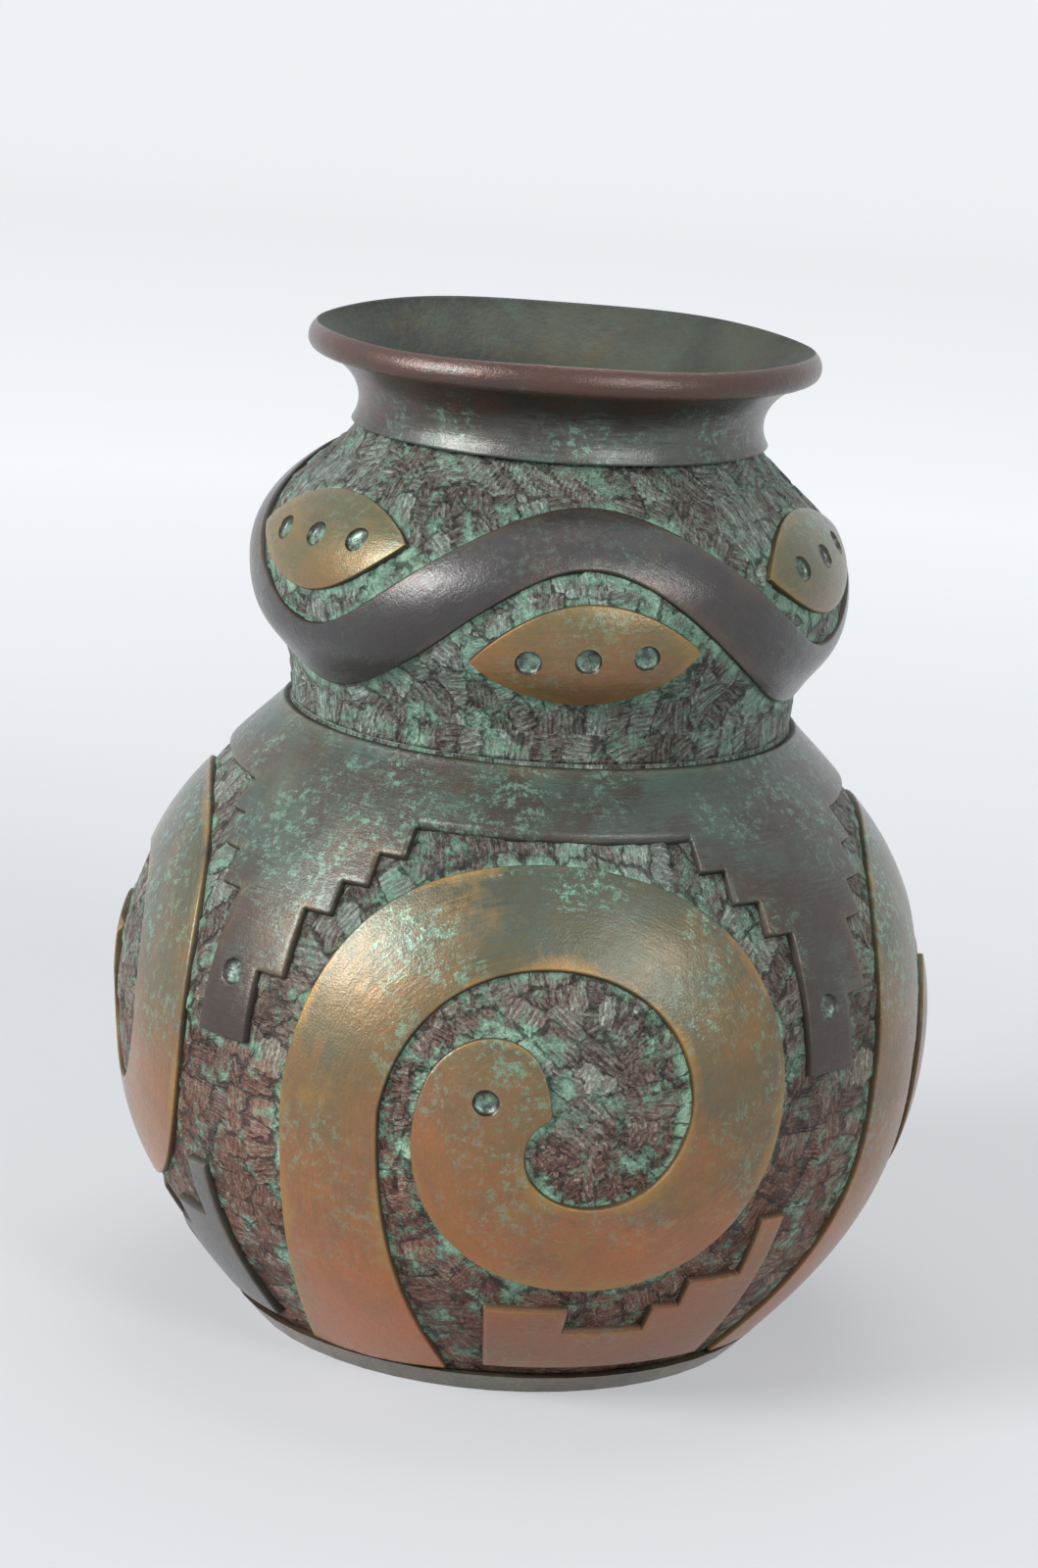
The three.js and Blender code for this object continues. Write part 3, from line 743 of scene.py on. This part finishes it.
def waxed_patina(name, stops, heights, veil, mint, ochre, roughness, metallic=0.45):
    """A satin patina. Stops are colours from the low height to the high one. The veil is a colour and
    how much of it lies in streaks at the low and at the high height, mint is how much verdigris powders
    it at these heights, and ochre is the most that rubbed edges show."""
    material, tree = new_material(name)
    place = add_node(tree, "TexCoord").outputs["Object"]
    height = add_node(tree, "SeparateXYZ", Vector=place).outputs["Z"]
    near_edge = add_node(tree, "Attribute", {"attribute_name": "near_edge"}).outputs["Fac"]
    pit = add_node(tree, "Attribute", {"attribute_name": "pit"}).outputs["Fac"]
    # Streaks from the brush, coarser than real ones so that they show, run along U and comb the clouds
    drift = add_node(tree, "TexNoise", Vector=place, Scale=1 / patch_size, Detail=6.0, Roughness=0.62)
    wall_mm = add_node(tree, "UVMap", {"uv_map": "wall_mm"})
    brushed = add_node(tree, "Mapping", Vector=wall_mm, Scale=(1 / streak_length, 1 / streak_width, 1))
    streak = add_node(tree, "TexNoise", flat_noise, Vector=brushed, Scale=1.0, Detail=5.0, Roughness=0.7)
    combed = add_node(tree, "VectorMath", multiply_add, at_0=streak, at_1=(comb_reach,) * 3, at_2=place)
    # Colour by height, with ochre clouds, a veil, and ochre again where edges are rubbed
    wander = add_node(tree, "Math", multiply_add, at_0=drift, at_1=0.1, at_2=height)
    blend = add_node(tree, "Math", multiply_add, at_0=streak, at_1=0.04, at_2=wander)
    low, high = heights[0] + height_lift, heights[1] + height_lift
    share = add_node(tree, "MapRange", Value=blend, From_Min=low, From_Max=high)
    colour = colour_run(tree, share, stops)
    colour = clouded(tree, colour, linear("8a6330"), combed, 35 * mm, 0.52, 0.64, ochre)
    thick = add_node(tree, "MapRange", Value=share, To_Min=veil[1], To_Max=veil[2])
    colour = clouded(tree, colour, linear(veil[0]), combed, 24 * mm, 0.44, 0.6, thick, 0.75)
    ragged = add_node(tree, "Math", multiply_add, at_0=drift, at_1=6.4, at_2=near_edge)
    colour = laid(tree, colour, linear("ab8038"), ragged, 3.6, 4.5, ochre)
    # Verdigris in flocks of specks, and the dark and light grain of the metal
    flock = add_node(tree, "TexNoise", Vector=combed, Scale=1 / flock_size, Detail=2.0)
    most = add_node(tree, "MapRange", Value=share, To_Min=mint[0], To_Max=mint[1])
    crowd = add_node(tree, "MapRange", Value=flock, From_Min=0.44, From_Max=0.58, To_Max=most)
    colour = clouded(tree, colour, linear("79a790"), place, 3 * mm, 0.52, 0.57, crowd, 0.85)
    colour = clouded(tree, colour, linear("2b2620"), combed, 1.4 * mm, 0.48, 0.7, 0.5, 0.8)
    colour = clouded(tree, colour, linear("a89f8b"), combed, 1.2 * mm, 0.58, 0.74, 0.2, 0.8)
    # A dark line round the piece's edge, partly dirt and partly painted shade where it meets the ground,
    # painted shade on the walls of the dots, and verdigris on their floors
    line = add_node(tree, "MapRange", Value=near_edge, From_Min=0.85, From_Max=0.96, To_Max=0.8)
    colour = laid(tree, colour, linear("2a2520"), line, 0, 1)
    # Painted shade: the walls of the dots are darkened.
    colour = laid(tree, colour, linear("2b2824"), pit, 0.02, 0.1, 0.9)
    floor = clouded(tree, linear("3b4039"), linear("84a894"), place, 3 * mm, 0.44, 0.6, 0.85, 0.75)
    colour = laid(tree, colour, floor, pit, 0.5, 0.8)
    # Satin wax over hand-dressed metal, and little of it on the dark edge line
    fine = add_node(tree, "TexNoise", Vector=place, Scale=1 / polish_size, Detail=3.0, Roughness=0.6)
    waves = add_node(tree, "TexNoise", Vector=place, Scale=1 / hammer_size, Detail=3.0, Roughness=0.55)
    dull = add_node(tree, "Math", {"operation": "ADD"}, at_0=fine, at_1=drift)
    satin = add_node(tree, "Math", multiply_add, at_0=dull, at_1=0.35, at_2=roughness - dull_lift)
    matt = add_node(tree, "Math", multiply_add, at_0=line, at_1=0.25, at_2=satin)
    wax = add_node(tree, "Math", multiply_add, at_0=line, at_1=-0.7, at_2=0.6)
    grained = add_node(tree, "Math", multiply_add, at_0=streak, at_1=0.8, at_2=fine)
    surface = add_node(tree, "Math", multiply_add, at_0=waves, at_1=4.0, at_2=grained)
    bump = add_node(tree, "Bump", Height=surface, Strength=0.5, Distance=polish_depth)
    shader = add_node(
        tree,
        "BsdfPrincipled",
        Base_Color=colour,
        Metallic=metallic,
        Roughness=matt,
        Normal=bump,
        Coat_Weight=wax,
        Coat_Roughness=0.24,
        Coat_Normal=bump,
    )
    add_node(tree, "OutputMaterial", Surface=shader)
    return material


# Neck and lip: one casting, turned smooth, that flares from the collar line to a rolled bead with a
# crisp rim. Brown wax is rubbed bare on the bead, and grey-green stays round the collar.
lip_bronze = waxed_patina(
    "waxed_red_brown_bronze",
    stops=("4c4c45", "413832", "2f2723", "4a2c21"),
    heights=(0.274, 0.298),
    veil=("4e5f58", 0.6, 0.0),
    mint=(0.8, 0.0),
    ochre=0.0,
    roughness=0.4,
)
neck_columns = 320
neck_spacing = 0.8 * mm
lip_bulge = 2.45 * mm
rim_thickness = 3 * mm
lip_rise = 9 * mm
rim_setback = 1.6 * mm
lip_sag = 0.35 * mm
roll_steps = 26
rim_radius = lip_underside_radius + rim_setback
rim_height = lip_underside_height + lip_rise
lip_reach = lip_underside_radius + 2 * lip_bulge
throat = wall_profile(collar_seam + clearance + lap, neck_height + lap, inner_depth, mm)[0]
roll = cubic(
    (
        (lip_underside_radius, lip_underside_height),
        (lip_reach, lip_underside_height),
        (lip_reach, lip_underside_height + 0.7 * lip_rise),
        (rim_radius, rim_height),
    ),
    roll_steps,
)
mouth = cubic(
    (
        (rim_radius, rim_height),
        (rim_radius - rim_thickness, lip_underside_height + 0.4 * lip_rise),
        (throat[0], (neck_height + lip_underside_height) / 2),
        throat,
    ),
    roll_steps,
)
socket = collar_seam + clearance
neck_wall = wall_profile(socket, lip_underside_height, 0, neck_spacing)
neck_outside = np.concatenate([neck_wall[:-1], roll])
neck_inside = np.concatenate(
    [mouth[1:], wall_profile(socket + lap, socket, lap_depth - clearance, lap_spacing)]
)
profile = np.concatenate([neck_outside, neck_inside])
rows = len(profile)
turn = np.arange(neck_columns)[:, None] * 2 * math.pi / neck_columns
uneven = np.clip((profile[:, 1] - neck_height) / (rim_height - neck_height), 0, 1) ** 2
sag = lip_sag * uneven * (2 + np.sin(2 * turn + 1) + np.sin(5 * turn))
neck_points = around_axis(turn, profile[:, 0], profile[:, 1] - sag)
neck_faces, i, j = closed_quads(neck_columns, rows)
run = run_along(*profile.T)
column_width = 2 * math.pi / neck_columns * neck_radius
neck_u = np.stack([(i + near) * column_width for near in (0, 1, 1, 0)], axis=-1)
neck_v = np.stack([run[(j + far) % rows] for far in (0, 0, 1, 1)], axis=-1)
neck_uv = np.stack([neck_u, neck_v], axis=-1)
neck = mesh_piece(
    "neck_and_rolled_lip",
    neck_points,
    neck_faces,
    (lip_bronze, inside_bronze),
    (j >= len(neck_outside) - 1) & (j < rows - 1),
    neck_uv / mm,
)
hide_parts("neck_and_lip")


# Shoulder plate: a dark ring under the waist line with a stepped field that hangs into each gap
# between the scrolls. It is cast in relief, filed crisp, and punched with a dot at each tip.
buffed_off = 0.1 * mm
edge_sink = 0.2 * mm


def plate(name, filled, angle, length, depth, edge, pit, grain, material, wrapped=False, sunk=0.5 * mm):
    """A closed plate on the wall. The arrays angle, length and depth place the lattice's corners, and
    filled says which cells exist. The grain is the two arrays that run along and across the brushing.
    The underside is sunk into the ground."""
    columns, rows = filled.shape
    corner_columns = columns if wrapped else columns + 1
    count = corner_columns * (rows + 1)
    top = wall_points(angle, length, depth + buffed_off)[:corner_columns]
    under = wall_points(angle, length, np.full_like(depth, relief + sunk))[:corner_columns]
    i, j = np.nonzero(filled)
    near, far = i * (rows + 1) + j, (i + 1) % corner_columns * (rows + 1) + j
    loop = np.stack([near, far, far + 1, near + 1], axis=1)
    grain = np.stack(grain, axis=-1) / mm
    grain_loop = np.stack([grain[i, j], grain[i + 1, j], grain[i + 1, j + 1], grain[i, j + 1]], axis=1)
    padded = np.pad(filled, ((0, 0), (1, 1)))
    ends = (padded[-1:], padded[:1]) if wrapped else (np.zeros_like(padded[:1]),) * 2
    padded = np.concatenate([ends[0], padded, ends[1]])
    beyond = [padded[1:-1, :-2], padded[2:, 1:-1], padded[1:-1, 2:], padded[:-2, 1:-1]]
    faces = [loop, loop[:, ::-1] + count]
    uv = [grain_loop, grain_loop[:, ::-1]]
    for side in range(4):
        is_open = ~beyond[side][i, j]
        a, b = loop[is_open, side], loop[is_open, (side + 1) % 4]
        faces.append(np.stack([b, a, a + count, b + count], axis=1))
        from_a, from_b = grain_loop[is_open, side], grain_loop[is_open, (side + 1) % 4]
        uv.append(np.stack([from_b, from_a, from_a, from_b], axis=1))
    used, renamed = np.unique(np.concatenate(faces), return_inverse=True)
    points = np.concatenate([top.reshape(-1, 3), under.reshape(-1, 3)])[used]
    marks = {
        "near_edge": np.tile(np.clip(1 - edge[:corner_columns].ravel() / edge_reach, 0, 1), 2)[used],
        "pit": np.tile(pit[:corner_columns].ravel(), 2)[used],
    }
    return mesh_piece(name, points, renamed, (material,), None, np.concatenate(uv), marks)


def rounded(inside, radius=0.7 * mm):
    """Depth of a plate's face: level inside, and falling over a quarter circle to the ground where
    the distance from the edge is less than the radius."""
    near = np.clip(1 - inside / radius, 0, 1)
    return (relief + edge_sink) * (1 - np.sqrt(1 - near**2))


dot_radius = 3.9 * mm
dot_wall = 0.5 * mm
dot_hollow = 0.25


def punched(x, y, dots):
    """How deep points lie in the punched dots, as a share: a steep wall and a slightly hollow floor."""
    share = np.zeros_like(x)
    for dot_x, dot_y in dots:
        away = np.hypot(x - dot_x, y - dot_y)
        hollow = 1 - dot_hollow * (away / dot_radius) ** 2
        share = np.maximum(share, np.clip((dot_radius - away) / dot_wall, 0, 1) * hollow)
    return share


dark_bronze = waxed_patina(
    "waxed_chocolate_bronze",
    stops=("33231c", "38281f", "3a352e"),
    heights=(0.11, 0.2),
    veil=("486359", 0.0, 0.85),
    mint=(0.1, 0.7),
    ochre=0.12,
    roughness=0.48,
    metallic=0.4,
)
pit_depth = 1.9 * mm
far_inside = 50 * mm
cells_round = 80
cells_each = cells_round // scroll_count
cell_turn = scroll_spacing / cells_each
cell_height = 10.5 * mm
shoulder_rows = 7
tip_drop = 2 * mm
coil_inside = scroll_reach - scroll_pitch
kept_circles = (
    (front_scroll, scroll_centre, 0, 0, coil_inside),
    (front_scroll + scroll_spacing, scroll_centre, 0, 0, coil_inside),
    (plug_turn, plug_length, 0, 0, plug_radius - channel / 2),
)
keep_clear = np.concatenate([scroll_lines, np.transpose(kept_circles)], axis=1)


def clear_cells(lines_up):
    """Which cells between two stems keep a channel from the scrolls, for rows between these lengths."""
    sides = front_scroll - stem_angle + np.arange(cells_each + 1) * cell_turn
    clear = []
    for low, high in zip(lines_up[:-1], lines_up[1:]):
        turn, length = np.meshgrid(sides, [low, (low + high) / 2, high], indexing="ij")
        free = (nearest_band(turn, length, keep_clear)[1] >= channel).all(axis=1)
        clear.append(free[:-1] & free[1:])
    return np.array(clear).T


def from_edges(turn, length, cells, row_lines):
    """How far points lie inside a field of cells: the least distance to a side of an empty cell. The
    field repeats round the wall."""
    inside = np.full(turn.shape, np.inf)
    radius = radius_at(length)
    for i, j in zip(*np.nonzero(~cells)):
        low, high = row_lines[j], row_lines[j + 1]
        for lap_round in (-1, 0, 1):
            left = (i + lap_round * len(cells)) * cell_turn
            across = np.maximum(np.maximum(left - turn, turn - left - cell_turn), 0) * radius
            up = np.maximum(np.maximum(low - length, length - high), 0)
            inside = np.minimum(inside, np.hypot(across, up))
    return inside


cell_steps = np.array([0, 0.04, 0.11, 0.25, 0.38, 0.5, 0.62, 0.75, 0.89, 0.96])
fine = len(cell_steps)


def cell_lines(lines):
    """Each line and the finer ones above it, in the steps of a cell, and the last line."""
    return np.append((lines[:-1, None] + cell_steps * cell_height).ravel(), lines[-1])


shoulder_lines = ring_foot - (shoulder_rows - np.arange(shoulder_rows + 1)) * cell_height
hanging = clear_cells(shoulder_lines)
hanging = np.logical_and.accumulate(hanging[:, ::-1], axis=1)[:, ::-1]
ring_rows = 22
ring_crowding = 1.4
turn_up = (np.arange(cells_each)[:, None] + cell_steps).ravel() * cell_turn
ring_share = 1 - (1 - np.arange(1, ring_rows + 1) / ring_rows) ** ring_crowding
ring_up = ring_foot + shoulder_ring * ring_share
up = np.concatenate([cell_lines(shoulder_lines), ring_up])
hanging_cells = np.repeat(np.repeat(hanging, fine, axis=0), fine, axis=1)
cells = np.concatenate([hanging_cells, np.ones((cells_each * fine, ring_rows), bool)], axis=1)
tip_turn = (np.nonzero(hanging[:, 0])[0].mean() + 0.5) * cell_turn
tip_radius = radius_at(shoulder_lines[2])
tip_dot = ((tip_turn * tip_radius, shoulder_lines[2] - tip_drop),)
turn, length = np.meshgrid(turn_up, up, indexing="ij")
across, length = drawn_in(turn * tip_radius, length, tip_dot, dot_radius)
turn = across / tip_radius
inside = np.minimum(from_edges(turn, length, hanging, shoulder_lines), ring_up[-1] - length)
inside = np.clip(inside, 0, far_inside)
pit = punched(across, length, tip_dot)
depth = rounded(inside) + pit_depth * pit
quarter = front_scroll - stem_angle + np.arange(scroll_count + 1)[:, None, None] * scroll_spacing
whole = np.concatenate(quarter + turn)[: cells_each * fine * scroll_count + 1]
all_up = np.tile(length, (scroll_count + 1, 1))[: len(whole)]
shoulder = plate(
    "shoulder_plate_dressed",
    np.tile(cells, (scroll_count, 1)),
    whole[:-1],
    all_up[:-1],
    np.tile(depth, (scroll_count, 1)),
    np.tile(inside, (scroll_count, 1)),
    np.tile(pit, (scroll_count, 1)),
    (whole * belly_radius, all_up),
    dark_bronze,
    True,
)
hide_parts("shoulder_plate")


# Scrolls: four crooks in golden bronze that run round the belly, each with a punched dot in its head
# and a stem that flares at the foot.
scroll_steps = 640
scroll_lanes = 46
head_crowding = 1.15
pillow_drop = 0.7 * mm


def crowded(count):
    """The sides of this many lanes from -1 to 1, which get narrower towards both ends."""
    return np.sin(np.linspace(-1, 1, count + 1) * math.pi / 2)


def band(name, path, half_width, steps, lanes, turned, centre, material, dots=(), crowding=1.0):
    """A strip along a path on the wall, pillowed a little, with rounded edges and ends. Dots are the
    places (x, y) of punched pits, from the band's own origin."""
    lengthwise = np.linspace(0, 1, steps + 1) ** crowding
    share, lane = np.meshgrid(lengthwise, crowded(lanes), indexing="ij")
    x, y, heading = path(share)
    half = half_width(share)
    across = x - np.sin(heading) * lane * half
    up = y + np.cos(heading) * lane * half
    across, up = drawn_in(across, up, dots, dot_radius)
    inside = half * (1 - np.abs(lane))
    pit = punched(across, up, dots)
    pillow = pillow_drop * lane**2 * (half / half.max())
    depth = np.minimum(rounded(inside) + pillow, relief + edge_sink) + pit_depth * pit
    grain = (np.repeat(run_along(x[:, 0], y[:, 0])[:, None], lanes + 1, axis=1), lane * half)
    turn = turned + across / radius_at(centre + up)
    filled = np.ones((steps, lanes), bool)
    return plate(name, filled, turn, centre + up, depth, inside, pit, grain, material)


golden_bronze = waxed_patina(
    "waxed_golden_bronze",
    stops=("b86b37", "b06a37", "99653a", "775f38", "565134", "404232"),
    heights=(0.02, 0.172),
    veil=("46564d", 0.15, 0.7),
    mint=(0.1, 1.0),
    ochre=0.75,
    roughness=0.42,
)
head_share = np.array([head_radius / (coil_run + stem_run)])
head_x, head_y = (float(v[0]) for v in scroll_path(head_share)[:2])
for k in range(scroll_count):
    turned_by = front_scroll + k * scroll_spacing
    scroll = band(
        f"scroll_{k + 1}_dressed",
        scroll_path,
        scroll_half_width,
        scroll_steps,
        scroll_lanes,
        turned_by,
        scroll_centre,
        golden_bronze,
        ((head_x, head_y),),
        head_crowding,
    )
    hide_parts(f"scroll_{k + 1}")

# Wave band: a dark rounded band that swings up and down round the upper bulb.
wave_bronze = waxed_patina(
    "waxed_near_black_bronze",
    stops=("312a2c", "332e2f", "3f3a3b"),
    heights=(0.2, 0.26),
    veil=("3b413f", 0.2, 0.4),
    mint=(0.1, 0.2),
    ochre=0.1,
    roughness=0.36,
    metallic=0.5,
)
wave_steps = 840
wave_lanes = 30
wave_drop = 0.9 * mm
whole_turn = np.linspace(0, 2 * math.pi, wave_steps + 1)
turn, lane = np.meshgrid(whole_turn, crowded(wave_lanes), indexing="ij")
phase = wave_count * (turn - front_scroll)
slope = -wave_swing * wave_count * np.sin(phase) / bulb_radius
side = lane * wave_width / 2 / np.hypot(1, slope)
inside = wave_width / 2 * (1 - np.abs(lane))
wave = plate(
    "wave_band_dressed",
    np.ones((wave_steps, wave_lanes), bool),
    turn - side * slope / bulb_radius,
    frieze_centre + wave_swing * np.cos(phase) + side,
    np.minimum(rounded(inside) + wave_drop * lane**2, relief + edge_sink),
    inside,
    np.zeros_like(inside),
    (turn * bulb_radius, lane * wave_width / 2),
    wave_bronze,
    True,
)
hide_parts("wave_band")

# Leaves: pointed ovals in the bays of the wave, golden above and copper below, with three dots each.
leaf_bronze = waxed_patina(
    "waxed_olive_gold_bronze",
    stops=("8a5738", "876136", "726339", "575636"),
    heights=(0.2, 0.262),
    veil=("48523f", 0.1, 0.5),
    mint=(0.1, 0.6),
    ochre=0.4,
    roughness=0.4,
)
leaf_steps = 190
leaf_lanes = 56
dot_spacing = 17 * mm
dots_along = (-dot_spacing, 0, dot_spacing)
leaf_dots = tuple((along * math.cos(leaf_tilt), along * math.sin(leaf_tilt)) for along in dots_along)
for k in range(wave_count):
    crest = front_scroll + k * wave_spacing
    for node, turned_by, side in (
        (f"leaf_under_crest_{k + 1}", crest, -1),
        (f"leaf_over_hollow_{k + 1}", crest + wave_spacing / 2, 1),
    ):
        centre = frieze_centre + side * leaf_offset
        leaf = band(
            node + "_dressed",
            leaf_path,
            leaf_half_width,
            leaf_steps,
            leaf_lanes,
            turned_by,
            centre,
            leaf_bronze,
            leaf_dots,
        )
        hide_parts(node)

# Foot steps: stepped fields that rise from the foot between the scrolls, two grey and two copper.
copper_bronze = waxed_patina(
    "waxed_copper_bronze",
    stops=("9a5a36", "a06238", "9d6639"),
    heights=(0.02, 0.09),
    veil=("5b5040", 0.2, 0.4),
    mint=(0.2, 0.3),
    ochre=0.3,
    roughness=0.42,
)
grey_bronze = waxed_patina(
    "waxed_steel_grey_bronze",
    stops=("55504e", "5c5a59", "62605f"),
    heights=(0.02, 0.09),
    veil=("4b4741", 0.2, 0.4),
    mint=(0.1, 0.2),
    ochre=0.1,
    roughness=0.46,
)
foot_rows = 7
foot_gap = 6 * mm
foot_lines = length_at(foot_band) + foot_gap + np.arange(foot_rows + 1) * cell_height
rising = clear_cells(foot_lines) & (foot_lines[1:] + channel <= shoulder_lines[0])
rising = np.logical_and.accumulate(rising, axis=1)
rising = np.pad(rising, ((0, 0), (1, 1)))
row_lines = np.concatenate([[foot_lines[0] - cell_height], foot_lines, [foot_lines[-1] + cell_height]])
turn, length = np.meshgrid(np.append(turn_up, scroll_spacing), cell_lines(foot_lines), indexing="ij")
inside = np.clip(from_edges(turn, length, rising, row_lines), 0, far_inside)
filled = np.repeat(np.repeat(rising[:, 1:-1], fine, axis=0), fine, axis=1)
for k in range(scroll_count):
    turned_by = front_scroll + k * scroll_spacing - stem_angle
    finish = (copper_bronze, grey_bronze)[k % 2]
    steps_plate = plate(
        f"foot_steps_{k + 1}_dressed",
        filled,
        turned_by + turn,
        length,
        rounded(inside),
        inside,
        np.zeros_like(inside),
        (turn * belly_radius, length),
        finish,
    )
    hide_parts(f"foot_step_plate_{k + 1}")

# Core plugs: bronze pins driven into the holes that the core's supports left, cut off level and
# chiselled over with the ground.
plug_steps = 12
plug_sunk = 2 * mm
u, v = np.meshgrid(crowded(plug_steps), crowded(plug_steps), indexing="ij")
disc_x, disc_y = (plug_radius * a * np.sqrt(1 - b**2 / 2) for a, b in ((u, v), (v, u)))
for k in range(scroll_count):
    plug = plate(
        f"core_plug_{k + 1}_dressed",
        np.ones((plug_steps, plug_steps), bool),
        plug_turn + k * scroll_spacing + disc_x / radius_at(plug_length),
        plug_length + disc_y,
        np.full_like(u, relief),
        np.full_like(u, edge_reach),
        np.zeros_like(u),
        (disc_x, disc_y + plug_length),
        ground_bronze,
        sunk=plug_sunk,
    )
    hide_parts(f"core_plug_{k + 1}")

# Foot ring and base plate: plain pieces that keep their CAD shape.
foot_bronze = waxed_patina(
    "waxed_plain_brown_bronze",
    stops=("6f5f50", "7d6c5a"),
    heights=(0.0, 0.007),
    veil=("55574d", 0.5, 0.3),
    mint=(0.3, 0.3),
    ochre=0.0,
    roughness=0.44,
    metallic=0.5,
)
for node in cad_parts.values():
    if not node.hide_render:
        node.data.materials.clear()
        node.data.materials.append(foot_bronze)
